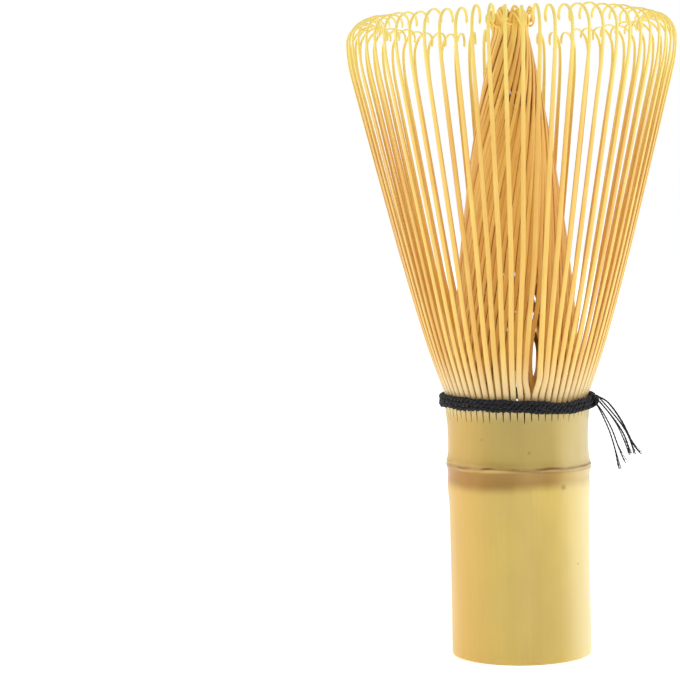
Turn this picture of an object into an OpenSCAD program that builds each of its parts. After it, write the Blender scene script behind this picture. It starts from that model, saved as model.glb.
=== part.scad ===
// Bamboo tea whisk. Millimetres, +Z up, standing on its handle end, axis on Z.
// One culm is split into an outer ring of sprung tines and an inner twisted bundle of tines,
// and one dark thread is woven round the roots to hold the two rings apart.

/* [Handle] */
// Outer radius of the plain handle
handle_r = 12; // [11:0.1:13]
// Radius of the hollow inside the handle
bore_r = 9; // [8:0.1:9.5]
// Depth of the hollow, from the handle end to the node's inner wall
bore_depth = 30.3; // [20:0.1:31]
// Height of the raised line of the bamboo node
node_z = 33.2; // [32.8:0.1:34.3]
// How far the node stands out from the handle
node_bulge = 0.48; // [0.2:0.02:0.8]
// Height where the solid wall ends and the slits begin
slit_z = 41.5; // [41.1:0.1:42.5]

/* [Outer tines] */
// Tines in each outer group, which bends as one
tines_per_group = 4; // [3:1:4]
// Width of an outer tine at its root
outer_root_w = 0.88; // [0.7:0.02:0.9]
// Width of an outer tine at its tip
outer_tip_w = 0.5; // [0.35:0.05:0.6]
// Thickness of an outer tine at its root
outer_root_t = 0.5; // [0.4:0.05:0.55]
// Thickness of an outer tine at its tip
outer_tip_t = 0.3; // [0.2:0.05:0.35]
// Outward lean of the straight part, in millimetres per millimetre of height
flare = 0.25; // [0.2:0.005:0.26]
// Radius of the hook's first quarter turn
hook_r = 3.7; // [2.5:0.1:4]
// Radius of the curl that ends the hook
curl_r = 1.7; // [1:0.1:2.2]
// Height where the tine stands upright, just below its hook
hook_z = 105.9; // [98:0.1:108]
// How far round the hook turns, in degrees
hook_turn = 200; // [150:5:220]

/* [Inner tines] */
// Radius of the middle of the inner tines at their roots
inner_root_r = 10.65; // [10.5:0.05:10.7]
// Width of an inner tine at its root
inner_root_w = 0.62; // [0.5:0.02:0.7]
// Width of an inner tine at its tip
inner_tip_w = 0.32; // [0.25:0.01:0.34]
// Thickness of an inner tine
inner_t = 0.36; // [0.25:0.01:0.38]
// Radius of the bundle's neck, below the curled tips
neck_r = 2.95; // [2.9:0.05:3.1]
// How full the bundle's belly is: 1 is a straight cone, higher is fuller
belly = 1.7; // [1.2:0.1:2]
// Height of the neck
neck_z = 107.2; // [101:0.1:107.5]
// Turn of the bundle between its roots and its neck, in degrees
bundle_twist = 95; // [60:1:100]

/* [Thread] */
// Height of the middle of the woven band
band_z = 44.3; // [44:0.1:44.6]
// Diameter of one turn of the thread
thread_d = 0.7; // [0.6:0.05:0.8]
// Bearing of the knot, in degrees from +X towards +Y
knot_bearing = -12; // [-45:1:45]
// Radius of the knot
knot_r = 1.15; // [0.9:0.05:1.3]

/* [Hidden] */
GROUPS = 16;
group_turn = 360 / GROUPS;
tine_turn = group_turn / tines_per_group;
$fn = 96;

// Bodies of the fixed roots, in radius and height
root_top_z = 46.2;
below_slits = 0.6;
outer_root_in = 12.05;
inner_root_in = 10.2;
inner_root_out = 11.1;
slit_w = 0.4;
slit_reach = 5;
chamfer = 0.35;
diaphragm = 2.2;
cut_h = 10; // taller than what any cut through the roots goes through

// Outer tine: ease-out of the bend just above the thread, then a straight lean
outer_start_z = 46.5;
lean_z = 46; // where the lean begins
outer_root_r = 12.7;
ease = 1.4;
ease_length = 10;
shoulder_r = 24;
shoulder_lean = 7; // lean half way round the shoulder
straight_steps = 6;
straight_crowd = 1.4; // above 1, the steps crowd towards the root
hook_step = 18;

// Inner tine: clear gap above its fixed root, and the steps of its sweep
inner_start_z = 47.4;
inner_steps = 10;
even_turn = 0.37; // share of the twist that builds evenly; the rest builds near the neck
late = 4;         // power of what builds near the neck
layer_step = 0.62;
curl_lead = 6;
curl_swirl = 1 / 18;
curl_step = 41;
curl_out_r = [0.5, 0.8];
curl_rise = [1.8, 3.4];
curl_turn = 205;

// Thread: turns in the outer and the inner band, and the loose ends' routes from the knot
band_turns = 3;
turn_overlap = 0.06;
clear = 0.02;
stitch_d = 0.32;
inner_thread_d = 0.6;
band_r = outer_root_r + thread_d / 2 + clear;
inner_band_r = (inner_root_out + outer_root_in) / 2 + clear;
knot_out = 0.6;
knot_up = 0.4;
tail_sides = 6;
TAILS = [
    [0.36, [[0.6, -0.2, 0.5], [2.4, -0.6, -0.6], [4.6, -0.9, -3.6], [6.6, -1.1, -7.0], [8.3, -1.3, -8.6]]],
    [0.30, [[0.8, 0.2, 0.1], [2.6, 0.3, -2.0], [4.6, 0.3, -4.6], [6.0, 0.1, -6.6], [7.1, 0.1, -8.8]]],
    [0.30, [[0.6, -0.6, -0.1], [2.2, -1.2, -1.8], [4.0, -1.7, -4.0], [5.5, -2.0, -6.0], [6.7, -2.2, -8.4]]],
    [0.26, [[0.3, -0.5, -0.7], [1.5, -1.1, -2.2], [3.0, -1.4, -5.0], [4.3, -1.5, -7.8], [5.7, -1.6, -10.1]]],
    [0.26, [[0.2, 0.1, -0.8], [1.2, 0.1, -2.8], [2.4, 0.0, -5.6], [3.5, -0.2, -8.4], [4.3, -0.3, -11.3]]],
    [0.22, [[0.7, 0.5, -0.4], [1.9, 1.0, -2.1], [3.5, 1.3, -4.6], [4.8, 1.5, -7.0], [6.0, 1.6, -9.2]]]
];

OUTER = [for (i = [1:GROUPS]) str("outer_tines_", i < 10 ? "0" : "", i)];
INNER = [for (i = [1:GROUPS]) str("inner_tines_", i < 10 ? "0" : "", i)];
TAIL = [for (i = [1:len(TAILS)]) str("thread_tail_", i)];

// ---- culm ----

// Outside of the culm from the handle end to the roots' tops, as [radius, height]
function culm_outline() = [
    [handle_r - chamfer, 0],
    [handle_r, chamfer],
    [handle_r, 25.7],
    [handle_r + 0.2, node_z - 5],
    [handle_r + 0.28, node_z - 3.8],
    [handle_r + 0.16, node_z - 2],
    [handle_r + 0.28, node_z - 0.7],
    [handle_r + node_bulge, node_z - 0.2],
    [handle_r + node_bulge, node_z + 0.1],
    [handle_r + 0.22, node_z + 0.9],
    [handle_r + 0.06, 37.4],
    [handle_r + 0.1, 39.8],
    [handle_r + 0.2, slit_z - below_slits],
    [outer_root_r, root_top_z]
];

module culm_wall() {
    rotate_extrude()
        polygon(concat([[0, 0]], culm_outline(), [[0, root_top_z]]));
}

module culm_hollows() {
    upper_z = bore_depth + diaphragm;
    cone_top_z = slit_z - below_slits;
    translate([0, 0, -1])
        cylinder(r = bore_r, h = bore_depth + 1);
    translate([0, 0, upper_z])
        cylinder(r1 = bore_r, r2 = inner_root_in, h = cone_top_z - upper_z);
    translate([0, 0, cone_top_z])
        cylinder(r = inner_root_in, h = cut_h);
}

// Ring gap that parts the outer roots from the inner ones
module root_gap() {
    translate([0, 0, slit_z])
        linear_extrude(cut_h)
            difference() {
                circle(r = outer_root_in);
                circle(r = inner_root_out);
            }
}

// Saw cuts between neighbouring tines
module root_slits() {
    for (i = [0:GROUPS * tines_per_group - 1])
        rotate(i * tine_turn)
            translate([bore_r, -slit_w / 2, slit_z])
                cube([slit_reach, slit_w, cut_h]);
}

module culm() {
    color([0.83, 0.72, 0.43])
        difference() {
            culm_wall();
            culm_hollows();
            root_gap();
            root_slits();
        }
}

// ---- outer tines ----

function outer_r(z) = outer_root_r + flare * (z - lean_z) + ease * (1 - exp(-(z - lean_z) / ease_length));
function outer_lean(z) = atan(flare + ease / ease_length * exp(-(z - lean_z) / ease_length));

// Middle line of an outer tine in the plane of the axis, as [radius, height, lean];
// lean is 0 where the tine stands upright and falls as the tine curls inwards
straight_top = hook_z - shoulder_r * sin(outer_lean(hook_z));
hook_out_r = outer_r(straight_top) - outer_tip_t / 2
    + shoulder_r * (1 - cos(outer_lean(hook_z)));
OUTER_LINE = concat(
    [for (k = [0:straight_steps])
        let (
            s = k / straight_steps,
            z = outer_start_z + (straight_top - outer_start_z) * pow(s, straight_crowd)
        )
        [outer_r(z) - outer_root_t / 2 + (outer_root_t - outer_tip_t) / 2 * s, z, outer_lean(z)]],
    [[hook_out_r - shoulder_r * (1 - cos(shoulder_lean)),
      hook_z - shoulder_r * sin(shoulder_lean),
      shoulder_lean]],
    [for (a = [0:hook_step:hook_turn])
        let (r = a <= 90 ? hook_r : curl_r)
        [hook_out_r - hook_r + r * cos(a), hook_z + hook_r - r + r * sin(a), -a]]
);

// Point at a distance across the line, on its outer side when the distance is positive
function across(p, d) = [p[0] + d * cos(p[2]), p[1] - d * sin(p[2])];
function outer_half_t(k) = (outer_root_t + (outer_tip_t - outer_root_t) * k / (len(OUTER_LINE) - 1)) / 2;

module outer_tine() {
    last = len(OUTER_LINE) - 1;
    outer_side = [for (k = [0:last]) across(OUTER_LINE[k], outer_half_t(k))];
    inner_side = [for (k = [last:-1:0]) across(OUTER_LINE[k], -outer_half_t(k))];
    intersection() {
        rotate([90, 0, 0])
            translate([0, 0, -1])
                linear_extrude(2)
                    polygon(concat(outer_side, inner_side));
        rotate([90, 0, 90])
            linear_extrude(40)
                polygon([
                    [-outer_root_w / 2, outer_start_z - 1],
                    [outer_root_w / 2, outer_start_z - 1],
                    [outer_tip_w / 2, hook_z + hook_r + 1],
                    [-outer_tip_w / 2, hook_z + hook_r + 1]
                ]);
    }
}

module outer_tines(group) {
    color([0.91, 0.72, 0.40])
        for (i = [0:tines_per_group - 1])
            rotate(group * group_turn + (i - (tines_per_group - 1) / 2) * tine_turn)
                outer_tine();
}

// ---- inner tines ----

// The bundle's outer radius, turn and split into two layers, at a share s of the way to the neck
function bundle_r(s) = inner_root_r - (inner_root_r - neck_r) * pow(s, belly);
function bundle_turn(s) = bundle_twist * (even_turn * s + (1 - even_turn) * pow(s, late));
function layer_gap(s) = layer_step * pow(s, late);

// Middle line of an inner tine as [radius, height, lean, turn]; every second tine lies in
// the inner layer at the neck, and its tip curls out over the one beside it
function inner_line(layer) = let (curl = curl_out_r[layer]) concat(
    [for (k = [0:inner_steps])
        let (s = k / inner_steps)
        [bundle_r(s) - layer * layer_gap(s),
         inner_start_z + (neck_z - inner_start_z) * s,
         0,
         bundle_turn(s)]],
    [for (a = [0:curl_step:curl_turn])
        [neck_r - layer * layer_gap(1) + curl * (1 - cos(a)),
         neck_z + curl_rise[layer] + curl * sin(a),
         a,
         bundle_twist + curl_lead + a * curl_swirl]]
);

// Corners of the tine's section at a point of its line
function section(p, w, t) = [
    for (c = [[1, -1], [1, 1], [-1, 1], [-1, -1]])
        let (
            q = across(p, c[0] * t / 2),
            y = c[1] * w / 2
        )
        [q[0] * cos(p[3]) - y * sin(p[3]), q[0] * sin(p[3]) + y * cos(p[3]), q[1]]
];

// Strip swept through rings of four corners each
module strip(rings) {
    n = len(rings[0]);
    last = len(rings) - 1;
    polyhedron(
        points = [for (ring = rings) each ring],
        faces = concat(
            [[for (j = [n - 1:-1:0]) j]],
            [for (k = [0:last - 1], j = [0:n - 1])
                let (a = k * n + j, b = k * n + (j + 1) % n)
                each [[a, b, b + n], [a, b + n, a + n]]],
            [[for (j = [0:n - 1]) last * n + j]]
        ),
        convexity = 8
    );
}

module inner_tine(layer) {
    line = inner_line(layer);
    last = len(line) - 1;
    strip([for (k = [0:last])
        section(line[k], inner_root_w + (inner_tip_w - inner_root_w) * min(1, k / inner_steps), inner_t)]);
}

module inner_tines(group) {
    color([0.79, 0.55, 0.24])
        for (i = [0:tines_per_group - 1])
            rotate(group * group_turn + (i - (tines_per_group - 1) / 2) * tine_turn)
                inner_tine(i % 2);
}

// ---- thread ----

// Section of a band of turns lying on each other, scalloped on both sides
module band_section(r, d, turns) {
    for (k = [0:turns - 1])
        translate([r, band_z + (k - (turns - 1) / 2) * (d - turn_overlap)])
            circle(d = d, $fn = 10);
}

module binding_thread() {
    color([0.12, 0.13, 0.19]) {
        rotate_extrude()
            band_section(band_r, thread_d, band_turns);
        rotate_extrude()
            band_section(inner_band_r, inner_thread_d, band_turns);
        for (i = [0:GROUPS * tines_per_group - 1])
            rotate(i * tine_turn)
                translate([inner_band_r, 0, band_z])
                    rotate([0, 90, 0])
                        cylinder(d = stitch_d, h = band_r - inner_band_r, $fn = 6);
    }
}

module at_knot() {
    rotate(knot_bearing)
        translate([band_r + knot_out, 0, band_z + knot_up])
            children();
}

module thread_knot() {
    color([0.12, 0.13, 0.19])
        at_knot()
            sphere(r = knot_r, $fn = 32);
}

// One loose end, swept along its route with a ring at each point
module thread_tail(i) {
    r = TAILS[i][0] / 2;
    route = TAILS[i][1];
    color([0.14, 0.15, 0.21])
        at_knot()
            strip([for (p = route)
                [for (j = [0:tail_sides - 1])
                    let (a = -j * 360 / tail_sides)
                    p + r * [cos(a) * 0.8, sin(a), cos(a) * 0.6]]]);
}

// ---- drawing ----

culm();
binding_thread();
thread_knot();
for (i = [0:len(TAILS) - 1])
    thread_tail(i);
for (i = [0:GROUPS - 1])
    outer_tines(i);
for (i = [0:GROUPS - 1])
    inner_tines(i);
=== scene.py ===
"""Bamboo tea whisk: the looks of one split culm and its thread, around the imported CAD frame.

Lengths in this file are millimetres until a mesh is made, when MM turns them into metres.
"""

import math

import bpy
import numpy as np
from mathutils import Matrix, Vector


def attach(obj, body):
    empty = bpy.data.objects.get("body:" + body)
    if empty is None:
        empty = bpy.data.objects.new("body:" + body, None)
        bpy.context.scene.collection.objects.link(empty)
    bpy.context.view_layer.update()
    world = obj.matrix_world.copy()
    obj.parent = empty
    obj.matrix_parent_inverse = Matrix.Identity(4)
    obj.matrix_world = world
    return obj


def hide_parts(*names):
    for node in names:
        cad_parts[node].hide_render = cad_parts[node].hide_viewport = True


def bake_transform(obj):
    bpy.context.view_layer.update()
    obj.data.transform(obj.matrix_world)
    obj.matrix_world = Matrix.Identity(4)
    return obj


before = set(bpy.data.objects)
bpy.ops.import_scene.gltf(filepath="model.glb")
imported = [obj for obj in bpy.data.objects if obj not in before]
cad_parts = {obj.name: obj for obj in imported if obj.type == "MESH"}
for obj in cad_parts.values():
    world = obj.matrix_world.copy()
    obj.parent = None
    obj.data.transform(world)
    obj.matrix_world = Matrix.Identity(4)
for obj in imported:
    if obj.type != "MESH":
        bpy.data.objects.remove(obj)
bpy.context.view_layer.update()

MM = 0.001
TAU = 2 * math.pi
rng = np.random.default_rng(763)

# ---- sizes shared with the CAD ----
GROUPS = 16
PER_GROUP = 4
TINES = GROUPS * PER_GROUP
TINE_TURN = TAU / TINES
HANDLE_R = 12.0
BORE_R = 9.0
BORE_DEPTH = 30.3
DIAPHRAGM_TOP = 32.5
NODE_Z = 33.2
ROOT_R = 12.7
LEAN_Z = 46.0
FLARE = 0.25
EASE = 1.4
EASE_LENGTH = 10.0
SHOULDER_R = 24.0
HOOK_Z = 105.9
INNER_ROOT_R = 10.65
NECK_R = 2.95
INNER_LEAN_Z = 47.4
NECK_Z = 107.2
BELLY = 1.7
TWIST = math.radians(95)
EVEN_TURN = 0.37
LATE = 4
LAYER_STEP = 0.62
BAND_Z = 44.3
BAND_R = 13.07
KNOT_BEARING = math.radians(-12)
KNOT_R = 13.67
KNOT_Z = 44.2


# ---- small helpers ----

def smooth_step(x):
    """0 below 0, 1 above 1, and an even ease between."""
    x = np.clip(x, 0, 1)
    return x * x * (3 - 2 * x)


def wave(angle, amplitudes, phases):
    """Slow, closed unevenness round the culm: a sum of a few whole waves."""
    return sum(a * np.sin((k + 1) * angle + p) for k, (a, p) in enumerate(zip(amplitudes, phases)))


def unit(vectors):
    """The same directions, each of length 1."""
    return vectors / np.linalg.norm(vectors, axis=-1, keepdims=True)


def polar(radius, angle, height):
    """Points from cylinder coordinates; any of the three may be an array."""
    radius, angle, height = np.broadcast_arrays(radius, angle, height)
    return np.stack([radius * np.cos(angle), radius * np.sin(angle), height], axis=-1).astype(float)


def catmull(points, steps):
    """Smooth curve through the points."""
    p = np.asarray(points, float)
    p = np.vstack([2 * p[0] - p[1], p, 2 * p[-1] - p[-2]])
    out = []
    for k in range(1, len(p) - 2):
        for t in np.arange(steps) / steps:
            out.append(0.5 * (2 * p[k] + (p[k + 1] - p[k - 1]) * t
                              + (2 * p[k - 1] - 5 * p[k] + 4 * p[k + 1] - p[k + 2]) * t ** 2
                              + (3 * p[k] - p[k - 1] - 3 * p[k + 1] + p[k + 2]) * t ** 3))
    out.append(p[-2])
    return np.array(out)


class Shape:
    """Vertices, faces and point attributes that grow shell by shell into one mesh."""

    def __init__(self):
        self.vertices, self.faces, self.values, self.count = [], [], {}, 0

    def add(self, vertices, faces, **values):
        """One more closed shell; each value is one number for all its points, or one for each."""
        self.vertices.append(vertices)
        self.faces.extend(tuple(i + self.count for i in face) for face in faces)
        for name, value in values.items():
            self.values.setdefault(name, []).append(np.broadcast_to(value, len(vertices)))
        self.count += len(vertices)

    def build(self, name, material):
        """The mesh in metres, as an object in the scene."""
        mesh = bpy.data.meshes.new(name)
        mesh.from_pydata(np.vstack(self.vertices) * MM, [], self.faces)
        for key, parts in self.values.items():
            attribute = mesh.attributes.new(key, "FLOAT", "POINT")
            attribute.data.foreach_set("value", np.concatenate(parts).astype(np.float32))
        mesh.polygons.foreach_set("use_smooth", [True] * len(mesh.polygons))
        mesh.materials.append(material)
        mesh.update()
        piece = bpy.data.objects.new(name, mesh)
        bpy.context.scene.collection.objects.link(piece)
        return piece


def ring_faces(rings, sides, closed=False):
    """Quads between neighbouring rings, with an end cap at each end unless the rings close."""
    faces = []
    for k in range(rings if closed else rings - 1):
        a, b = k * sides, (k + 1) % rings * sides
        for j in range(sides):
            n = (j + 1) % sides
            faces.append((a + j, a + n, b + n, b + j))
    if not closed:
        faces.append(tuple(range(sides - 1, -1, -1)))
        faces.append(tuple(range((rings - 1) * sides, rings * sides)))
    return faces


# A split strip's section: flat faces with the arrises just taken off
STRIP = np.array([(1, -0.5), (1, 0.5), (0.78, 0.94), (0, 1), (-0.78, 0.94), (-1, 0.5),
                  (-1, -0.5), (-0.8, -1), (0.8, -1)])


def add_strip(shape, centres, sides, outs, widths, thicks, tint):
    """One bamboo strip swept along its middle line."""
    rings = (centres[:, None]
             + sides[:, None] * (STRIP[None, :, :1] * widths[:, None, None] / 2)
             + outs[:, None] * (STRIP[None, :, 1:] * thicks[:, None, None] / 2))
    n, m = len(centres), len(STRIP)
    run = np.concatenate([[0], np.cumsum(np.linalg.norm(np.diff(centres, axis=0), axis=1))])
    shape.add(rings.reshape(-1, 3), ring_faces(n, m),
              along=np.repeat(run / run[-1], m),
              run=np.repeat(run, m),
              across=np.tile(STRIP[:, 0], n) * np.repeat(widths / 2, m),
              sawn=np.tile(np.abs(STRIP[:, 0]) > 0.9, n),
              tint=tint)


# A direction just off upright, which no thread runs along exactly; it sets where a tube's sides are
NEARLY_UP = (0.05, 0.03, 1.0)


def add_tube(shape, path, radius, sides, tint, closed=False):
    """A round tube along a path; the radius may differ from point to point."""
    if closed:
        tangent = unit(np.roll(path, -1, 0) - np.roll(path, 1, 0))
    else:
        tangent = unit(np.gradient(path, axis=0))
    normal = unit(np.cross(tangent, NEARLY_UP))
    binormal = np.cross(tangent, normal)
    angle = np.arange(sides) * TAU / sides
    radius = np.broadcast_to(radius, len(path))
    rings = path[:, None] + radius[:, None, None] * (
        normal[:, None] * np.cos(angle)[None, :, None] + binormal[:, None] * np.sin(angle)[None, :, None])
    run = np.concatenate([[0], np.cumsum(np.linalg.norm(np.diff(path, axis=0), axis=1))])
    shape.add(rings.reshape(-1, 3), ring_faces(len(path), sides, closed),
              run=np.repeat(run, sides),
              across=np.tile(angle, len(path)),
              tint=tint)


# ---- materials ----

class Nodes:
    """A material's node tree, with one short call for each kind of node."""

    def __init__(self, name):
        self.material = bpy.data.materials.new(name)
        self.material.use_nodes = True
        self.tree = self.material.node_tree
        self.shader = self.tree.nodes["Principled BSDF"]

    def new(self, kind, settings=None, **inputs):
        """A node; each input is given by its name, or by its number as i0, i1 and so on."""
        node = self.tree.nodes.new(kind)
        for key, value in (settings or {}).items():
            setattr(node, key, value)
        for key, value in inputs.items():
            self.put(node.inputs[int(key[1:])] if key[0] == "i" and key[1:].isdigit()
                     else node.inputs[key], value)
        return node

    def put(self, socket, value):
        if isinstance(value, bpy.types.NodeSocket):
            self.tree.links.new(value, socket)
        else:
            socket.default_value = value

    def value(self, name):
        """A value that the mesh carries at each point."""
        return self.new("ShaderNodeAttribute", {"attribute_name": name}).outputs["Fac"]

    def math(self, operation, a, b=0.0):
        return self.new("ShaderNodeMath", {"operation": operation}, i0=a, i1=b).outputs[0]

    def times(self, a, b):
        return self.math("MULTIPLY", a, b)

    def plus(self, a, b):
        return self.math("ADD", a, b)

    def minus(self, a, b):
        return self.math("SUBTRACT", a, b)

    def position(self):
        return self.new("ShaderNodeTexCoord").outputs["Object"]

    def xyz(self, vector):
        return self.new("ShaderNodeSeparateXYZ", i0=vector).outputs

    def vector(self, x, y, z):
        return self.new("ShaderNodeCombineXYZ", i0=x, i1=y, i2=z).outputs[0]

    def noise(self, vector, scale=1.0, detail=3.0, rough=0.5):
        return self.new("ShaderNodeTexNoise", Vector=vector, Scale=scale, Detail=detail,
                        Roughness=rough).outputs["Fac"]

    def stretched(self, place, across, along, detail, rough):
        """Noise with a size of its own across the culm and along it."""
        x, y, z = place
        vector = self.vector(self.times(x, across), self.times(y, across), self.times(z, along))
        return self.noise(vector, 1.0, detail, rough)

    def remap(self, value, lo, hi, to_lo=0.0, to_hi=1.0):
        return self.new("ShaderNodeMapRange", {"interpolation_type": "SMOOTHSTEP"}, i0=value,
                        i1=lo, i2=hi, i3=to_lo, i4=to_hi).outputs[0]

    def window(self, value, start, full, fall, end):
        """1 from full to fall, easing to 0 at start and at end."""
        return self.times(self.remap(value, start, full), self.remap(value, end, fall))

    def mix(self, share, a, b):
        node = self.new("ShaderNodeMix", {"data_type": "RGBA"})
        self.put(node.inputs[0], share)
        self.put(node.inputs[6], a)
        self.put(node.inputs[7], b)
        return node.outputs[2]

    def bump(self, height, strength, distance):
        return self.new("ShaderNodeBump", Height=height, Strength=strength,
                        Distance=distance).outputs[0]

    def finish(self, colour, roughness, normal=None, **fixed):
        self.put(self.shader.inputs["Base Color"], colour)
        self.put(self.shader.inputs["Roughness"], roughness)
        if normal is not None:
            self.put(self.shader.inputs["Normal"], normal)
        for key, value in fixed.items():
            self.shader.inputs[key.replace("_", " ")].default_value = value
        return self.material


def rgb(red, green, blue):
    """A colour as it is seen, 0 to 255, as the linear colour a shader wants."""
    def linear(c):
        c /= 255
        return c / 12.92 if c <= 0.04045 else ((c + 0.055) / 1.055) ** 2.4
    return (linear(red), linear(green), linear(blue), 1.0)


# Where the skin warms towards the left and pales towards the right, in x: partly its own colour, partly
# painted light
WARM_SIDE = -2.0 * MM, -11.5 * MM
# The pale right side is a painted highlight
HIGHLIGHT_SIDE = 6.0 * MM, 12.0 * MM
# Where the skin between the slits is painted paler, in z: a painted highlight on the teeth
TEETH_HIGHLIGHT_Z = 41.1, 43.4
# How far under the skin the pith starts, and from where on it is all pith
PITH_DEPTH = 0.42, 0.62
# Marks on the culm's skin, as (x, y, z, size) in millimetres
SPECKS = [(7.6, -9.7, 29.9, 0.75), (-6.2, -10.6, 38.2, 0.55), (1.9, -12.0, 36.0, 0.5),
          (9.0, 8.5, 34.6, 0.6), (-10.5, 6.4, 28.2, 0.6), (-3.5, 11.6, 12.4, 0.45),
          (9.8, -7.0, 16.5, 0.3)]


def plain_skin(n, place, above_node, cloud):
    """The culm's skin: straw below the node and olive above it, warm at the left, pale at the right in a
    painted highlight.
    """
    x = place[0]
    warm_side = n.remap(x, *WARM_SIDE)
    highlight_side = n.remap(x, *HIGHLIGHT_SIDE)
    lower = n.mix(n.remap(cloud, 0.3, 0.7), rgb(217, 188, 94), rgb(205, 177, 92))
    # warmer towards the left: partly the culm's own colour, partly painted light
    lower = n.mix(n.times(warm_side, 0.75), lower, rgb(228, 180, 82))
    # painted highlight: paler towards the right
    lower = n.mix(n.times(highlight_side, 0.6), lower, rgb(246, 232, 176))
    upper = n.mix(n.remap(cloud, 0.35, 0.68), rgb(172, 149, 77), rgb(187, 163, 86))
    # warmer towards the left: partly the culm's own colour, partly painted light
    upper = n.mix(warm_side, upper, rgb(205, 165, 70))
    # painted highlight: paler towards the right
    upper = n.mix(n.times(highlight_side, 0.55), upper, rgb(226, 208, 156))
    return n.mix(n.times(n.remap(above_node, -0.2, 1.2), 0.85), lower, upper)


def node_marks(n, skin, place, above_node, cloud, broad):
    """The stain below the node, a pale painted highlight on the ridge over it, and the dark line of the node
    in its halo.
    """
    x, y, _ = place
    stain_z = n.plus(above_node, n.times(n.minus(cloud, 0.5), 2.4))
    stain = n.times(n.window(stain_z, -4.4, -2.2, -0.5, 0.2), n.remap(x, 11.0 * MM, 4.0 * MM, 0.35, 0.78))
    stain_colour = n.mix(n.remap(x, *WARM_SIDE), rgb(142, 94, 20), rgb(164, 106, 14))
    skin = n.mix(stain, skin, stain_colour)
    patchy = n.remap(n.noise(n.vector(n.times(x, 230), n.times(y, 230), 0.0)), 0.36, 0.62, 0.3, 0.95)
    # painted highlight: a pale, patchy line along the crest of the ridge just below the node
    ridge_highlight = n.window(above_node, -0.65, -0.45, -0.3, -0.15)
    skin = n.mix(n.times(n.times(ridge_highlight, 0.5), patchy), skin, rgb(206, 170, 106))
    line_z = n.plus(above_node, n.times(n.minus(broad, 0.5), 0.9))
    halo = n.window(line_z, -0.5, -0.1, 0.1, 1.5)
    skin = n.mix(n.times(halo, 0.38), skin, rgb(146, 108, 62))
    line = n.window(line_z, -0.28, -0.06, 0.06, 0.4)
    return n.mix(n.times(line, patchy), skin, rgb(116, 80, 40))


def small_marks(n, skin, position, fibre, broad):
    """Fine streaks along the fibres, paler patches, and the specks."""
    skin = n.mix(n.times(n.remap(fibre, 0.3, 0.72), 0.08), skin, rgb(176, 138, 66))
    skin = n.mix(n.times(n.remap(broad, 0.45, 0.75), 0.16), skin, rgb(238, 214, 138))
    for x, y, z, size in SPECKS:
        away = n.new("ShaderNodeVectorMath", {"operation": "DISTANCE"}, i0=position,
                     i1=(x * MM, y * MM, z * MM)).outputs["Value"]
        mark = n.remap(away, size * MM, 0.15 * size * MM)
        skin = n.mix(n.times(mark, 0.5), skin, rgb(122, 92, 44))
    return skin


def culm_material():
    """Bamboo skin outside, and pale pith with the ends of the fibres on cut faces and inside."""
    n = Nodes("bamboo_skin")
    position = n.position()
    place = n.xyz(position)
    x, y, z = place
    mm_z = n.times(z, 1 / MM)
    above_node = n.minus(mm_z, NODE_Z)
    radius = n.times(n.math("SQRT", n.plus(n.times(x, x), n.times(y, y))), 1 / MM)
    # fibres run along the culm, so the noise is stretched along Z
    fibre = n.stretched(place, 1900, 26, 4.0, 0.6)
    broad = n.stretched(place, 150, 14, 2.0, 0.5)
    cloud = n.stretched(place, 90, 60, 3.0, 0.5)

    skin = plain_skin(n, place, above_node, cloud)
    skin = node_marks(n, skin, place, above_node, cloud, broad)
    skin = small_marks(n, skin, position, fibre, broad)
    dots = n.stretched(place, 2600, 60, 1.0, 0.4)
    pith = n.mix(n.remap(dots, 0.5, 0.66), rgb(238, 216, 164), rgb(176, 132, 74))
    inside = n.remap(radius, *(HANDLE_R - depth for depth in PITH_DEPTH))
    colour = n.mix(inside, skin, pith)
    # painted highlight: the skin is painted paler on the teeth between the slits
    teeth_highlight = n.times(n.remap(mm_z, *TEETH_HIGHLIGHT_Z), n.minus(1.0, inside))
    colour = n.mix(n.times(teeth_highlight, 0.75), colour, rgb(236, 212, 146))

    height = n.plus(n.times(fibre, 0.6), n.times(cloud, 0.4))
    return n.finish(colour, n.remap(fibre, 0.2, 0.8, 0.3, 0.42), n.bump(height, 0.35, 0.08 * MM),
                    Coat_Weight=0.1, Coat_Roughness=0.22, IOR=1.46)


def strip_material(name, body, dark, tip, root, root_end, tip_start):
    """Split bamboo: fibre lines along each strip, sawn sides darkened in painted shade, a pale root and a
    pale tip partly in painted light.

    root_end and tip_start are shares of the strip's length, from its root.
    """
    n = Nodes(name)
    along, run, across, tint, sawn = (n.value(k) for k in ("along", "run", "across", "tint", "sawn"))
    offset = n.times(tint, 97.0)
    grain = n.noise(n.vector(n.times(across, 9.0), n.times(run, 0.16), offset), 1.0, 4.0, 0.62)
    patch = n.noise(n.vector(offset, n.times(run, 0.09), 0.0), 1.0, 2.0, 0.5)
    # painted shade: a darker colour for the sawn sides of each strip
    side_shade = tuple(0.75 * c for c in dark[:3]) + (1.0,)
    colour = n.mix(n.remap(tint, 0.0, 1.0, 0.0, 0.6), body, dark)
    colour = n.mix(n.times(n.remap(grain, 0.42, 0.75), 0.5), colour, dark)
    colour = n.mix(n.times(n.remap(patch, 0.5, 0.75), 0.3), colour, tip)
    # painted shade: the sawn sides are darkened
    colour = n.mix(n.times(n.remap(sawn, 0.3, 1.0), 0.5), colour, side_shade)
    # the tip is painted paler: partly the thin tip's own colour, partly painted light, the glare of the
    # bright backdrop washing it out
    colour = n.mix(n.times(n.remap(along, tip_start, 0.95), 0.92), colour, tip)
    colour = n.mix(n.times(n.remap(along, root_end, 0.01), 0.85), colour, root)
    return n.finish(colour, n.remap(grain, 0.2, 0.8, 0.32, 0.48), n.bump(grain, 0.3, 0.05 * MM),
                    Coat_Weight=0.12, Coat_Roughness=0.3, IOR=1.48)


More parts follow.
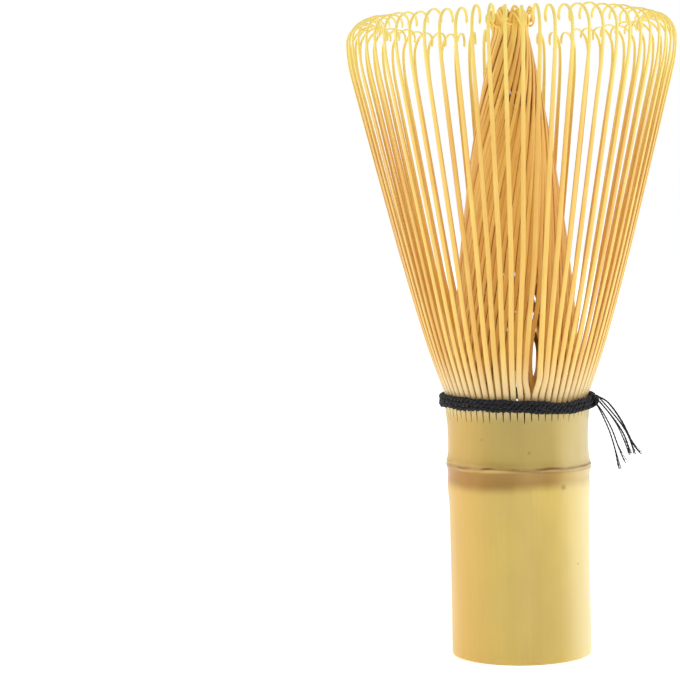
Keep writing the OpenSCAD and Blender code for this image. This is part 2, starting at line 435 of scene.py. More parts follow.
def thread_material():
    """Navy-black cotton: twisted fibres that catch the light in fine slanted lines."""
    n = Nodes("cotton_thread")
    run, across, tint = (n.value(k) for k in ("run", "across", "tint"))
    slant = n.plus(n.times(run, 9.0), n.times(across, 1.5))
    fibre = n.noise(n.vector(slant, n.times(tint, 53.0), n.math("SINE", across)), 1.0, 3.0, 0.6)
    colour = n.mix(n.remap(fibre, 0.35, 0.72), rgb(8, 9, 15), rgb(26, 27, 40))
    colour = n.mix(n.remap(tint, 0.0, 1.0, 0.0, 0.4), colour, rgb(32, 27, 31))
    return n.finish(colour, 0.85, n.bump(fibre, 0.6, 0.06 * MM),
                    Sheen_Weight=0.06, Sheen_Roughness=0.5)


# ---- culm ----

OUT_OF_ROUND = [0.05, 0.07, 0.03], [0.4, 1.9, 3.1]
NODE_WOBBLE = [0.52, 0.10, 0.07, 0.06, 0.05], [-1.5, 0.3, 1.2, 4.0, 2.2]
RIDGE_WOBBLE = [0.03, 0.02, 0.03, 0.02, 0.02, 0.03], [0.2, 1.0, 2.2, 5.1, 0.7, 3.3]
# How far those two wobbles reach above and below the node
NODE_WOBBLE_REACH = 2.5
RIDGE_WOBBLE_REACH = 0.6
# Outside of the culm as (radius, height)
SKIN = [(11.65, 0.0), (11.86, 0.08), (12.0, 0.35), (12.0, 6), (11.98, 13), (12.0, 20), (12.02, 25.2),
        (12.08, 26.7), (12.2, 28.1), (12.28, 29.2), (12.24, 30.2), (12.17, 31.1), (12.2, 31.8),
        (12.34, 32.4), (12.48, 32.75), (12.5, 32.92), (12.4, 33.1), (12.39, 33.22), (12.47, 33.4),
        (12.38, 33.7), (12.22, 34.2), (12.1, 35.4), (12.06, 37.4), (12.1, 39.2), (12.15, 40.2)]
# The largest steps from one row of the skin to the next
SKIN_STEP_R = 0.06
SKIN_STEP_Z = 1.2
# The bore from its ceiling down to the end face, and the cavity down to the node, as (radius, height)
BORE = [(5.0, BORE_DEPTH + 0.05), (8.5, BORE_DEPTH), (BORE_R, BORE_DEPTH - 0.5), (BORE_R, 22),
        (BORE_R, 14), (BORE_R, 6), (BORE_R, 0.35), (BORE_R + 0.25, 0)]
END_FACE_R = 10.4
CAVITY = [(10.15, 39.7), (9.8, 38.0), (9.3, 35.0), (9.0, 33.1), (8.5, DIAPHRAGM_TOP),
          (5.0, DIAPHRAGM_TOP - 0.05)]
# The comb of teeth, one tooth between each two slits
TEETH_TOP_Z = 44.1
TEETH_ROWS = 8
TEETH_COLUMNS = 7
TEETH_FLARE = 0.1
INNER_WALL_R = 10.2
SLIT_HALF_W = 0.15
SLIT_BOTTOM_Z = 41.15
SLIT_BOTTOM_SPREAD = 0.45
SHARP_ANGLE = math.radians(38)
# Each column's place across its tooth, from 0 to 1, and its bearing
COLUMN_SHARE = np.arange(TEETH_COLUMNS) / (TEETH_COLUMNS - 1)
COLUMN_ANGLE = (np.arange(TINES)[:, None] + COLUMN_SHARE[None, :]) * TINE_TURN


def skin_rows():
    """The skin's rows, with more of them where its radius changes fast."""
    rows = [SKIN[0]]
    for (r0, z0), (r1, z1) in zip(SKIN, SKIN[1:]):
        steps = max(1, int(round(max(abs(r1 - r0) / SKIN_STEP_R, (z1 - z0) / SKIN_STEP_Z))))
        rows += [(r0 + (r1 - r0) * k / steps, z0 + (z1 - z0) * k / steps) for k in range(1, steps + 1)]
    return rows


class CulmMesh:
    """The culm's faces between rows of vertices, each row as one list of columns per tooth."""

    def __init__(self):
        self.vertices, self.index, self.faces = [], {}, []

    def vertex(self, key, point):
        """The number of the vertex with this key, which is new the first time."""
        if key not in self.index:
            self.index[key] = len(self.vertices)
            self.vertices.append(point)
        return self.index[key]

    def row(self, name, radius, angle, height, whole):
        """In a whole row, the last column of each tooth is the first column of the next."""
        def key(i, j):
            return (name, (i + 1) % TINES, 0) if whole and j == TEETH_COLUMNS - 1 else (name, i, j)
        return [[self.vertex(key(i, j), polar(radius[i, j], angle[i, j], height[i, j]))
                 for j in range(TEETH_COLUMNS)] for i in range(TINES)]

    def ring(self, name, radius, height, uneven):
        """A lathed row; an uneven one shows the culm's wobbles."""
        near_node = math.exp(-((height - NODE_Z) / NODE_WOBBLE_REACH) ** 2)
        near_ridge = math.exp(-((height - NODE_Z) / RIDGE_WOBBLE_REACH) ** 2)
        shift = wave(COLUMN_ANGLE, *NODE_WOBBLE) * near_node * uneven
        bulge = wave(COLUMN_ANGLE, *OUT_OF_ROUND) * uneven
        ridge = wave(COLUMN_ANGLE * 3, *RIDGE_WOBBLE) * near_ridge * uneven
        return self.row(name, radius + bulge + ridge, COLUMN_ANGLE, height + shift, whole=True)

    def comb(self, side, base_z, radius_at):
        """One side of the teeth: row 0 is whole, and above it each tooth stands apart."""
        rows = []
        for row in range(TEETH_ROWS + 1):
            up = row / TEETH_ROWS
            height = base_z + (TEETH_TOP_Z - base_z) * up
            # the slit widens fast from a narrow bottom
            gap = SLIT_HALF_W / HANDLE_R * min(1.0, 1.1 * up ** 0.5)
            angle = COLUMN_ANGLE + gap * (1 - 2 * COLUMN_SHARE)[None, :]
            rows.append(self.row((side, row), radius_at(height, angle), angle, height, whole=row == 0))
        return rows

    def face(self, corners, outward):
        self.faces.append(corners if outward else corners[::-1])

    def join(self, lower, upper, outward=True):
        for i in range(TINES):
            for j in range(TEETH_COLUMNS - 1):
                self.face((lower[i][j], lower[i][j + 1], upper[i][j + 1], upper[i][j]), outward)

    def close(self, ring, height, outward):
        """A disc of triangles from a ring to one vertex on the axis."""
        centre = self.vertex(("centre", height), polar(0, 0, height))
        for i in range(TINES):
            for j in range(TEETH_COLUMNS - 1):
                self.face((ring[i][j], ring[i][j + 1], centre), outward)

    def teeth(self, outer, inner):
        """The four sides and the top of every tooth."""
        for k in range(TEETH_ROWS):
            self.join(outer[k], outer[k + 1])
            self.join(inner[k], inner[k + 1], outward=False)
            for i in range(TINES):
                for j, outward in ((0, False), (TEETH_COLUMNS - 1, True)):
                    side = (outer[k][i][j], inner[k][i][j], inner[k + 1][i][j], outer[k + 1][i][j])
                    self.face(side, outward)
        self.join(outer[-1], inner[-1])


def culm_piece(material):
    """One closed skin: a lathed wall and bore that opens above into a comb of 64 teeth."""
    slit_bottoms = SLIT_BOTTOM_Z + rng.uniform(-SLIT_BOTTOM_SPREAD, SLIT_BOTTOM_SPREAD, TINES)
    base_z = slit_bottoms[:, None] * (1 - COLUMN_SHARE) + np.roll(slit_bottoms, -1)[:, None] * COLUMN_SHARE
    culm = CulmMesh()

    # from the ceiling of the bore, down its wall, over the end face and up the skin
    inside = [(r, z, False) for r, z in BORE + [(END_FACE_R, 0)]]
    outside = [(r, z, z > 0) for r, z in skin_rows()]
    rings = [culm.ring(("wall", k), *row) for k, row in enumerate(inside + outside)]
    culm.close(rings[0], BORE[0][1], outward=False)
    for lower, upper in zip(rings, rings[1:]):
        culm.join(lower, upper)

    top_r, top_z = SKIN[-1]
    outer = culm.comb("outer", base_z,
                      lambda z, a: top_r + (z - top_z) * TEETH_FLARE + wave(a, *OUT_OF_ROUND))
    inner = culm.comb("inner", base_z, lambda z, a: np.full_like(z, INNER_WALL_R))
    culm.join(rings[-1], outer[0])
    culm.teeth(outer, inner)

    cavity = [culm.ring(("cavity", k), r, z, False) for k, (r, z) in enumerate(CAVITY)]
    culm.join(inner[0], cavity[0])
    for upper, lower in zip(cavity, cavity[1:]):
        culm.join(upper, lower)
    culm.close(cavity[-1], CAVITY[-1][1], outward=True)

    shape = Shape()
    shape.add(np.array(culm.vertices), culm.faces)
    piece = shape.build("bamboo_culm", material)
    piece.data.set_sharp_from_angle(angle=SHARP_ANGLE)
    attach(piece, "handle")
    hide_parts("culm")


# ---- outer tines ----

def outer_radius(z):
    """Radius of the fan's outer face: it opens fast at its foot and then evenly."""
    return ROOT_R + FLARE * (z - LEAN_Z) + EASE * (1 - np.exp(-(z - LEAN_Z) / EASE_LENGTH))


def outer_lean(z):
    """How far the fan leans outwards there, as an angle from upright."""
    return np.arctan(FLARE + EASE / EASE_LENGTH * np.exp(-(z - LEAN_Z) / EASE_LENGTH))


OUTER_START_Z = 43.8
OUTER_RINGS = 40
SHOULDER_RINGS = 5
HOOK_RINGS = 18
ROOT_CROWDING = 1.3  # above 1, so that rings lie closer together near the root
# Width by height, thickness by share of the length, and the width along the hook
OUTER_WIDTHS = [43, 47, 55, 75, 95, 105], [0.86, 0.94, 0.93, 0.85, 0.70, 0.53]
OUTER_THICKS = [0, 0.2, 0.75, 1], [0.5, 0.44, 0.31, 0.22]
HOOK_WIDTHS = 0.52, 0.44
# By the degrees it has turned through: the hook's radius as a share of its first radius
HOOK_TIGHTENS = [60, 130, 240], [1.0, 0.45, 0.38]
WORN_TIP = 0.6  # the last ring's share of its full size, on outer and inner tines


def smooth_random(count, reach):
    """Random numbers round a closed ring whose neighbours are alike, from -1 to 1."""
    values = rng.normal(size=count)
    kernel = np.exp(-(np.minimum(np.arange(count), count - np.arange(count)) / reach) ** 2)
    values = np.real(np.fft.ifft(np.fft.fft(values) * np.fft.fft(kernel)))
    return values / np.abs(values).max()


# Each tine's own size and place
HOOK_R = 3.9 + 0.35 * smooth_random(TINES, 1.2) + rng.uniform(-0.2, 0.2, TINES)
HOOK_TURN = np.radians(205 + 22 * smooth_random(TINES, 1.0) + rng.uniform(-9, 9, TINES))
HOOK_SPLAY = np.radians(6 * smooth_random(TINES, 1.8) + rng.uniform(-2, 2, TINES))
TOP_SHIFT = 0.42 * smooth_random(TINES, 1.3)
TOP_RADIAL = 0.28 * smooth_random(TINES, 1.0)
TOP_HEIGHT = 0.4 * smooth_random(TINES, 1.0)
TINE_WIDTH = 1.0 + 0.07 * smooth_random(TINES, 0.8)
# Where the tops' shift starts, and the height over which it grows
TOP_SHIFT_Z = 48
TOP_SHIFT_LENGTH = 55
# The fan turns a little, so that its far tines show between the near ones
FAN_TWIST = 0.25 * TINE_TURN
FAN_TWIST_Z = 50
FAN_TWIST_LENGTH = 22

# Where the tines stand apart from front to back, just above the thread: x at the roots, sideways shift,
# how sharply it changes sides and how far it reaches, both in x, and where it starts and ends, in z
PARTING_X = 2.5
PARTING_SHIFT = 0.64
PARTING_EDGE = 0.3
PARTING_REACH = 2.2
PARTING_Z = 45.4
PARTING_RISE = 3.4
PARTING_END_Z = 68
PARTING_FADE = 19


def parting(root_x, z):
    """Sideways shift away from the parting, widest at its foot, for a tine that comes from root_x."""
    away = root_x - PARTING_X
    share = smooth_step((z - PARTING_Z) / PARTING_RISE) * np.clip((PARTING_END_Z - z) / PARTING_FADE, 0, 1)
    return PARTING_SHIFT * np.tanh(away / PARTING_EDGE) * np.exp(-(away / PARTING_REACH) ** 2) * share


def outer_line(tine):
    """A tine's outer face from root to tip: radius, height, lean, and how far the hook reaches inwards."""
    hook_z = HOOK_Z + TOP_HEIGHT[tine]
    lean = outer_lean(HOOK_Z)
    straight_top = hook_z - SHOULDER_R * math.sin(lean)
    z = OUTER_START_Z + (straight_top - OUTER_START_Z) * np.linspace(0, 1, OUTER_RINGS) ** ROOT_CROWDING
    rise = smooth_step((z - LEAN_Z) / (straight_top - LEAN_Z))
    r = outer_radius(z) + TOP_RADIAL[tine] * rise
    lean_angle = outer_lean(z)
    # the shoulder bends the tine upright
    a = np.linspace(lean, 0, SHOULDER_RINGS + 1)[1:]
    shoulder_out = r[-1] + SHOULDER_R * (1 - math.cos(lean))
    # the hook tightens as it turns
    h = np.linspace(0, HOOK_TURN[tine], HOOK_RINGS)
    middle = (h[1:] + h[:-1]) / 2
    steps = np.diff(h) * HOOK_R[tine] * np.interp(np.degrees(middle), *HOOK_TIGHTENS)
    inwards = np.cumsum(steps * np.sin(middle))
    r = np.concatenate([r, shoulder_out - SHOULDER_R * (1 - np.cos(a)), shoulder_out - inwards])
    z = np.concatenate([z, hook_z - SHOULDER_R * np.sin(a), hook_z + np.cumsum(steps * np.cos(middle))])
    return r, z, np.concatenate([lean_angle, a, -h[1:]]), inwards


def outer_drift(tine, r, z, inwards):
    """Shift along the ring: the tine's own, the turn of the fan, and the splay of the hook."""
    drift = TOP_SHIFT[tine] * smooth_step((z - TOP_SHIFT_Z) / TOP_SHIFT_LENGTH)
    drift += FAN_TWIST * r * smooth_step((z - FAN_TWIST_Z) / FAN_TWIST_LENGTH)
    drift[1 - HOOK_RINGS:] += math.sin(HOOK_SPLAY[tine]) * inwards
    return drift


def outer_strip(shape, tine):
    """One outer tine, from just inside the culm to its worn tip."""
    azimuth = (tine + 0.5) * TINE_TURN
    r, z, lean_angle, inwards = outer_line(tine)
    width = np.interp(z, *OUTER_WIDTHS)
    width[-HOOK_RINGS:] = np.linspace(*HOOK_WIDTHS, HOOK_RINGS)
    width = width * TINE_WIDTH[tine]
    thick = np.interp(np.linspace(0, 1, len(z)), *OUTER_THICKS)
    width[-1] *= WORN_TIP
    thick[-1] *= WORN_TIP

    radial = np.array([math.cos(azimuth), math.sin(azimuth), 0])
    tangential = np.array([-math.sin(azimuth), math.cos(azimuth), 0])
    middle_r = r - thick / 2 * np.cos(lean_angle)
    drift = outer_drift(tine, r, z, inwards)
    centres = middle_r[:, None] * radial + drift[:, None] * tangential
    centres[:, 0] += parting(ROOT_R * math.cos(azimuth), z)
    centres[:, 2] = z + thick / 2 * np.sin(lean_angle)
    outs = np.cos(lean_angle)[:, None] * radial
    outs[:, 2] = -np.sin(lean_angle)
    tangents = unit(np.gradient(centres, axis=0))
    sides = unit(np.cross(outs, tangents))
    outs = unit(np.cross(tangents, sides))
    add_strip(shape, centres, sides, outs, width, thick, rng.uniform())


def tines_of(group):
    """The numbers of a group's four tines; the first group straddles tine 0."""
    return [(group * PER_GROUP + i - PER_GROUP // 2) % TINES for i in range(PER_GROUP)]


def outer_pieces(material):
    for group in range(GROUPS):
        shape = Shape()
        for tine in tines_of(group):
            outer_strip(shape, tine)
        number = f"{group + 1:02d}"
        piece = shape.build(f"outer_tines_split_{number}", material)
        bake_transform(piece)
        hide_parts(f"outer_tines_{number}")


# ---- inner tines ----

INNER_START_Z = 41.4
INNER_RINGS = 46
KNOB_RINGS = 26
# Width by height up to the neck; thickness there; width at the tip and thickness along it
INNER_WIDTHS = [40, 56, 68, 80, 98, 106], [0.74, 0.86, 0.84, 0.78, 0.72, 0.58]
INNER_THICK = 0.34
KNOB_TIP_WIDTH = 0.34
KNOB_THICKS = 0.32, 0.2
# Each tine's own size and place
INNER_JITTER = 0.10 * smooth_random(TINES, 0.7)
INNER_WIDTH = 1.0 + 0.10 * smooth_random(TINES, 0.6)
INNER_DRIFT = 0.26 * smooth_random(TINES, 0.8)
LAYER_LAG = math.radians(34)  # how far the inner layer lags behind the outer at the neck
LAG_LATE = 10  # the higher, the nearer to the neck the lag starts
KNOB_RISE = rng.uniform(0, 1, TINES)
KNOB_SWIRL = np.radians(rng.uniform(5, 60, TINES))
KNOB_CURL = np.radians(rng.uniform(190, 320, TINES))
KNOB_TUCK = rng.uniform(0.45, 0.8, TINES)
# How far a tip rises from the neck: at least, and more for some; and the share of the tip that does it
KNOB_LEAST_RISE = 1.9
KNOB_MORE_RISE = 1.5
KNOB_RISE_END = 0.45
# The share of the tip before it curls, and how much taller than wide the curl is
KNOB_STEM = 0.12
KNOB_TALL = 2.1
# Of the inner layer, tips that rise more than this curl inwards, and by this much more
KNOB_INWARD_RISE = 0.25
KNOB_INWARD_CURL = 1.25
KNOB_LEAST_R = 0.3


def bundle_radius(s):
    """Radius of the bundle's outer layer; s runs from 0 at its foot to 1 at the neck."""
    return INNER_ROOT_R - (INNER_ROOT_R - NECK_R) * np.clip(s, 0, 1) ** BELLY


def bundle_turn(s):
    """The turn of the bundle; straight at its foot, so that the parting shows light through."""
    s = np.clip(s, 0, 1)
    return TWIST * (EVEN_TURN * s * smooth_step(s / 0.28) + (1 - EVEN_TURN) * s ** LATE)


def knob_tip(tine, inner_layer, neck_r, neck_angle):
    """The tip: up from the neck, then out and over while it winds round the knob."""
    u = np.linspace(0, 1, KNOB_RINGS)[1:]
    curl = KNOB_CURL[tine] * smooth_step((u - KNOB_STEM) / (1 - KNOB_STEM))
    climb = 1 - (1 - np.minimum(u / KNOB_RISE_END, 1)) ** 2
    rise = (KNOB_LEAST_RISE + KNOB_MORE_RISE * KNOB_RISE[tine]) * climb
    small = KNOB_TUCK[tine] * (1.0 - 0.25 * u)
    outwards = -KNOB_INWARD_CURL if inner_layer and KNOB_RISE[tine] > KNOB_INWARD_RISE else 1.0
    tip_r = np.maximum(neck_r + outwards * small * (1 - np.cos(curl)), KNOB_LEAST_R)
    tip_z = NECK_Z + rise + small * KNOB_TALL * np.sin(curl)
    return tip_r, neck_angle + KNOB_SWIRL[tine] * u ** 1.3, tip_z


def inner_strip(shape, tine):
    """One inner tine, from inside the culm up the twisted bundle and round the knob."""
    layer = tine % 2
    z = np.linspace(INNER_START_Z, NECK_Z, INNER_RINGS)
    s = (z - INNER_LEAN_Z) / (NECK_Z - INNER_LEAN_Z)
    gap = LAYER_STEP * np.clip(s, 0, 1) ** LATE * layer
    jitter = INNER_JITTER[tine] * smooth_step(s * 2)
    r = bundle_radius(s) - gap + jitter
    angle = (tine + 0.5) * TINE_TURN + bundle_turn(s) - layer * LAYER_LAG * np.clip(s, 0, 1) ** LAG_LATE
    angle += (INNER_DRIFT[tine] * smooth_step(s * 1.6)) / r

    tip_r, tip_angle, tip_z = knob_tip(tine, layer == 1, r[-1], angle[-1])
    centres = polar(np.append(r, tip_r), np.append(angle, tip_angle), np.append(z, tip_z))
    # where a point of the bundle would be if it lay at the roots of the outer tines
    root_x = centres[:, 0] * ROOT_R / outer_radius(centres[:, 2])
    centres[:, 0] += parting(root_x, centres[:, 2])

    tangents = unit(np.gradient(centres, axis=0))
    sides = unit(np.cross(unit(centres * (1, 1, 0)), tangents))
    outs = unit(np.cross(tangents, sides))
    width = np.interp(z, *INNER_WIDTHS) * INNER_WIDTH[tine]
    width = np.append(width, np.linspace(width[-1], KNOB_TIP_WIDTH, KNOB_RINGS - 1))
    thick = np.append(np.full(INNER_RINGS, INNER_THICK), np.linspace(*KNOB_THICKS, KNOB_RINGS - 1))
    width[-1] *= WORN_TIP
    thick[-1] *= WORN_TIP
    add_strip(shape, centres, sides, outs, width, thick, rng.uniform())


def inner_pieces(material):
    for group in range(GROUPS):
        shape = Shape()
        for tine in tines_of(group):
            inner_strip(shape, tine)
        number = f"{group + 1:02d}"
        piece = shape.build(f"inner_tines_split_{number}", material)
        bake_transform(piece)
        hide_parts(f"inner_tines_{number}")


# ---- thread ----

BAND_ROWS = 3
ROW_STEP = 0.69
WEAVE = 0.1
PLY_SIDES = 7
# The rows outside the roots, and the rows between the outer and the inner tines
OUTER_TURNS = {"radius": BAND_R - 0.03, "ply_r": 0.24, "offset": 0.2, "twists": 44, "steps": 512}
INNER_TURNS = {"radius": 11.62, "ply_r": 0.18, "offset": 0.12, "twists": 48, "steps": 384}
# Bearing in degrees, and how far the middle of the band lies from BAND_Z there
BAND_DIP = [(-180, 0.15), (-150, 0.1), (-125, -0.12), (-100, -0.32), (-80, -0.46), (-62, -0.82),
            (-50, -0.88), (-34, -0.74), (-12, -0.3), (30, -0.05), (90, 0.0), (140, 0.08), (180, 0.15)]
STITCH_R = 0.15
STITCH_SLANT = 0.3
STITCH_SLANT_SPREAD = 0.08
# A stitch from inside to outside, as (radius, turn, height in slants)
STITCH = [(11.3, 0, -1), (12.1, 0, 0), (12.9, 0, 1), (13.12, 0.018, 1.9)]


def band_height(angle):
    """Height of the band's middle at a bearing."""
    bearing, dip = zip(*BAND_DIP)
    wrapped = (np.degrees(angle) + 180) % 360 - 180
    return BAND_Z + np.interp(wrapped, bearing, dip)


def twined_row(shape, row, radius, ply_r, offset, twists, steps):
    """Two plies laid round each other, closed round the culm, weaving out and in between the tines."""
    angle = np.linspace(0, TAU, steps, endpoint=False)
    weave = WEAVE * np.cos(TINES / 2 * angle + row * math.pi)
    uneven = wave(angle * 3, [0.03, 0.04, 0.03, 0.04], [row, 2.1 * row, 0.6, 1.7 + row])
    uneven = uneven + wave(angle * 11, [0.04, 0.03], [1.3 * row, 2.4])
    lift = (row - (BAND_ROWS - 1) / 2) * ROW_STEP
    for ply in range(2):
        turn = twists * angle + ply * math.pi + row * 0.9
        r = radius + weave + offset * np.cos(turn)
        z = band_height(angle) + lift + uneven + offset * np.sin(turn)
        add_tube(shape, polar(r, angle, z), ply_r, PLY_SIDES, rng.uniform(), closed=True)


def stitches(shape):
    """The thread where it passes in through each slit, slanting between its rows."""
    for i in range(TINES):
        angle = i * TINE_TURN
        slant = STITCH_SLANT * (-1) ** i + rng.uniform(-STITCH_SLANT_SPREAD, STITCH_SLANT_SPREAD)
        z = float(band_height(angle))
        path = [polar(r, angle + turn, z + slant * up) for r, turn, up in STITCH]
        add_tube(shape, catmull(path, 3), STITCH_R, 6, rng.uniform())


def binding_piece(material):
    shape = Shape()
    for turns in (OUTER_TURNS, INNER_TURNS):
        for row in range(BAND_ROWS):
            twined_row(shape, row, **turns)
    stitches(shape)
    piece = shape.build("woven_binding", material)
    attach(piece, "handle")
    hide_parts("binding_thread")


# The overhand knot as two strands of (turn, size), and the loops over it
KNOT_STRANDS = (0.0, 0.30), (0.7, 0.26)
KNOT_THREAD_R = 0.25
KNOT_SIDES = 8
LOOPS = 4
LOOP_R = 0.21
LOOP_FIRST_Y = -0.72
LOOP_STEP_Y = 0.44


def at_knot(points):
    """From the knot's own axes, x outwards, to the culm's."""
    c, s = math.cos(KNOT_BEARING), math.sin(KNOT_BEARING)
    p = np.asarray(points, float) + (KNOT_R, 0, 0)
    return np.stack([p[..., 0] * c - p[..., 1] * s, p[..., 0] * s + p[..., 1] * c,
                     p[..., 2] + KNOT_Z], axis=-1)


def knot_piece(material):
    """An overhand knot drawn tight, over turns of thread that hold it to the band."""
    shape = Shape()
    t = np.linspace(0, TAU, 120, endpoint=False)
    for turn, size in KNOT_STRANDS:
        overhand = np.stack([0.32 * np.sin(3 * t + turn), size * (np.sin(t) + 2 * np.sin(2 * t)),
                             size * (np.cos(t) - 2 * np.cos(2 * t))], axis=-1)
        add_tube(shape, at_knot(overhand), KNOT_THREAD_R, KNOT_SIDES, rng.uniform(), closed=True)
    for k in range(LOOPS):
        y = LOOP_FIRST_Y + LOOP_STEP_Y * k
        loop = np.stack([0.55 * np.cos(t) - 0.25, y + 0.22 * np.sin(t + k), 0.86 * np.sin(t) - 0.2], axis=-1)
        add_tube(shape, at_knot(loop), LOOP_R, KNOT_SIDES, rng.uniform(), closed=True)
    piece = shape.build("tied_knot", material)
    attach(piece, "handle")
    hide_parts("thread_knot")


# Loose ends from the knot, as (diameter, route)
TAILS = [
    (0.36, [(0.6, -0.2, 0.5), (2.4, -0.6, -0.6), (4.6, -0.9, -3.6), (6.4, -1.1, -7.2), (7.8, -1.3, -9.1)]),
    (0.30, [(0.8, 0.2, 0.1), (2.6, 0.3, -2.0), (4.6, 0.3, -4.6), (5.8, 0.1, -6.8), (6.6, 0.1, -9.3)]),
    (0.30, [(0.6, -0.6, -0.1), (2.2, -1.2, -1.8), (4.0, -1.7, -4.0), (5.3, -2.0, -6.2), (6.2, -2.2, -8.9)]),
    (0.26, [(0.3, -0.5, -0.7), (1.5, -1.1, -2.2), (3.0, -1.4, -5.0), (4.1, -1.5, -8.0), (5.2, -1.6, -10.6)]),
    (0.26, [(0.2, 0.1, -0.8), (1.2, 0.1, -2.8), (2.4, 0.0, -5.6), (3.3, -0.2, -8.6), (3.9, -0.3, -11.8)]),
    (0.22, [(0.7, 0.5, -0.4), (1.9, 1.0, -2.1), (3.5, 1.3, -4.6), (4.6, 1.5, -7.2), (5.5, 1.6, -9.7)]),
]
TAIL_TWISTS = 9
# A ply's radius, and its distance from the middle of the thread, as shares of the thread's diameter
TAIL_PLY = 0.4
TAIL_SPREAD = 0.3
FIBRES = 5
FIBRE_R = 0.035
FIBRE_STRAY = 0.22


def tail_plies(shape, path, diameter):
    """Two plies laid round each other that part and thin towards the cut."""
    share = np.linspace(0, 1, len(path))
    spread = TAIL_SPREAD * diameter * (1 + 1.6 * smooth_step((share - 0.8) / 0.2))
    radius = TAIL_PLY * diameter * (1 - 0.45 * smooth_step((share - 0.82) / 0.18))
    for ply in range(2):
        turn = share * TAU * TAIL_TWISTS + ply * math.pi
        offset = np.stack([np.cos(turn) * 0.7, np.sin(turn), -np.cos(turn) * 0.5], axis=-1)
        add_tube(shape, at_knot(path + offset * spread[:, None]), radius, PLY_SIDES, rng.uniform())


def stray_fibres(shape, path):
    """Single fibres that leave the thread in its second half and stray further towards the cut."""
    for _ in range(FIBRES):
        first = int(len(path) * rng.uniform(0.5, 0.86))
        fibre = path[first:].copy()
        reach = np.linspace(0, 1, len(fibre))[:, None] ** 1.5
        fibre += reach * rng.normal(scale=FIBRE_STRAY, size=3)
        add_tube(shape, at_knot(fibre), FIBRE_R, 4, rng.uniform())


def tail_pieces(material):
    for k, (diameter, route) in enumerate(TAILS):
        shape = Shape()
        path = catmull(route, 14)
        tail_plies(shape, path, diameter)
        stray_fibres(shape, path)
        piece = shape.build(f"loose_end_{k + 1}", material)
        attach(piece, "handle")
        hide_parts(f"thread_tail_{k + 1}")


# ---- floor, light and camera ----

CAMERA = Vector((0, -370, 72.5)) * MM
AIM = Vector((-30.55, 0, 55.06)) * MM
ROLL = math.radians(-1.3)
LENS = 112.9
SENSOR = 36
# A studio that is dim towards the camera's side and bright behind, by the direction's y
WORLD_Y = -0.9, 0.15
FRONT_LIGHT = 0.36
REAR_LIGHT = 0.98
LIGHTS_AIM = (0, 0, 0.055)
# Soft lights as (name, place, size, watts, colour)
LIGHTS = [("left_light", (-0.42, -0.02, 0.16), (0.3, 0.4), 0.28, (1.0, 0.97, 0.92)),
          ("right_light", (0.42, -0.02, 0.16), (0.3, 0.4), 0.5, (1, 1, 1)),
          ("front_light", (0.05, -0.55, 0.35), (0.4, 0.3), 0.1, (1, 1, 1))]
FLOOR_HALF = 6.0
FLOOR_GLOW = 0.5


def camera():
    data = bpy.data.cameras.new("camera")
    data.lens, data.sensor_width = LENS, SENSOR
    data.clip_start, data.clip_end = 0.01, 20
    item = bpy.data.objects.new("camera", data)
    item.location = CAMERA
    look = (AIM - CAMERA).to_track_quat("-Z", "Y").to_matrix()
    item.rotation_euler = (look @ Matrix.Rotation(ROLL, 3, "Z")).to_euler()
    bpy.context.scene.collection.objects.link(item)
    bpy.context.scene.camera = item


def area_light(name, place, size, power, colour):
    data = bpy.data.lights.new(name, "AREA")
    data.shape, data.size, data.size_y = "RECTANGLE", size[0], size[1]
    data.energy, data.color = power, colour
    item = bpy.data.objects.new(name, data)
    item.visible_camera = False
    item.location = place
    item.rotation_euler = (Vector(LIGHTS_AIM) - Vector(place)).to_track_quat("-Z", "Y").to_euler()
    bpy.context.scene.collection.objects.link(item)


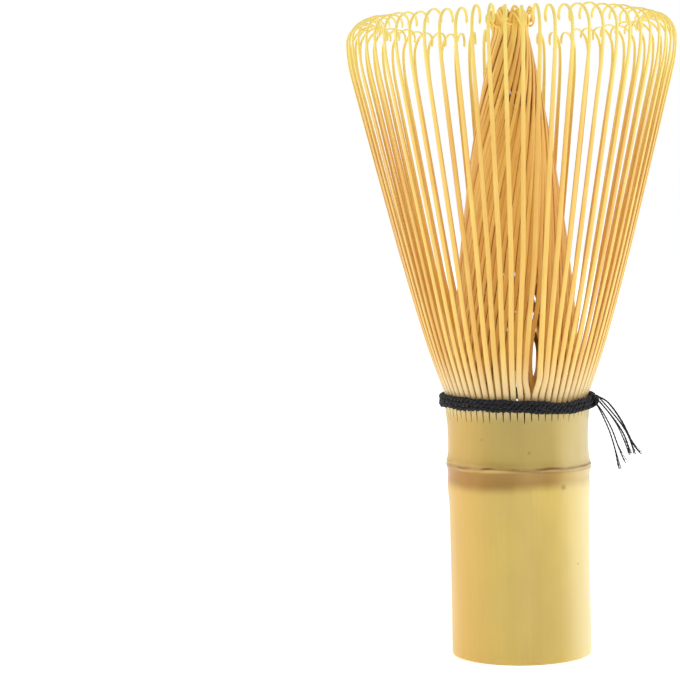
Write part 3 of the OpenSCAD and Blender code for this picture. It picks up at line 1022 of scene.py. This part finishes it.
def studio():
    """A white studio with a broad soft light at each side and a weak one in front."""
    world = bpy.data.worlds.new("studio")
    world.use_nodes = True
    tree = world.node_tree
    direction = tree.nodes.new("ShaderNodeSeparateXYZ")
    tree.links.new(tree.nodes.new("ShaderNodeTexCoord").outputs["Generated"], direction.inputs[0])
    strength = tree.nodes.new("ShaderNodeMapRange")
    for socket, value in zip(list(strength.inputs)[1:5], (*WORLD_Y, FRONT_LIGHT, REAR_LIGHT)):
        socket.default_value = value
    tree.links.new(direction.outputs["Y"], strength.inputs[0])
    # what is seen directly is plain white from every side
    seen = tree.nodes.new("ShaderNodeMath")
    seen.operation = "MAXIMUM"
    tree.links.new(tree.nodes.new("ShaderNodeLightPath").outputs["Is Camera Ray"], seen.inputs[0])
    tree.links.new(strength.outputs[0], seen.inputs[1])
    tree.nodes["Background"].inputs["Color"].default_value = (1, 1, 1, 1)
    tree.links.new(seen.outputs[0], tree.nodes["Background"].inputs["Strength"])
    bpy.context.scene.world = world
    for light in LIGHTS:
        area_light(*light)


def floor():
    mesh = bpy.data.meshes.new("floor")
    corners = [(x * FLOOR_HALF, y * FLOOR_HALF, 0) for x, y in ((-1, -1), (1, -1), (1, 1), (-1, 1))]
    mesh.from_pydata(corners, [], [(0, 1, 2, 3)])
    n = Nodes("white_floor")
    n.shader.inputs["Emission Color"].default_value = (1, 1, 1, 1)
    n.shader.inputs["Emission Strength"].default_value = FLOOR_GLOW
    mesh.materials.append(n.finish((0.9, 0.9, 0.9, 1), 0.9))
    item = bpy.data.objects.new("floor", mesh)
    bpy.context.scene.collection.objects.link(item)


# ---- build ----

camera()
studio()
floor()
culm_piece(culm_material())
outer_pieces(strip_material("bamboo_outer", body=rgb(248, 205, 102), dark=rgb(222, 160, 64),
                            tip=rgb(252, 233, 126), root=rgb(236, 212, 160), root_end=0.15, tip_start=0.6))
inner_pieces(strip_material("bamboo_inner", body=rgb(255, 212, 108), dark=rgb(216, 146, 50),
                            tip=rgb(252, 216, 102), root=rgb(232, 186, 104), root_end=0.05, tip_start=0.86))
THREAD = thread_material()
binding_piece(THREAD)
knot_piece(THREAD)
tail_pieces(THREAD)
bpy.context.scene.view_settings.view_transform = "Standard"
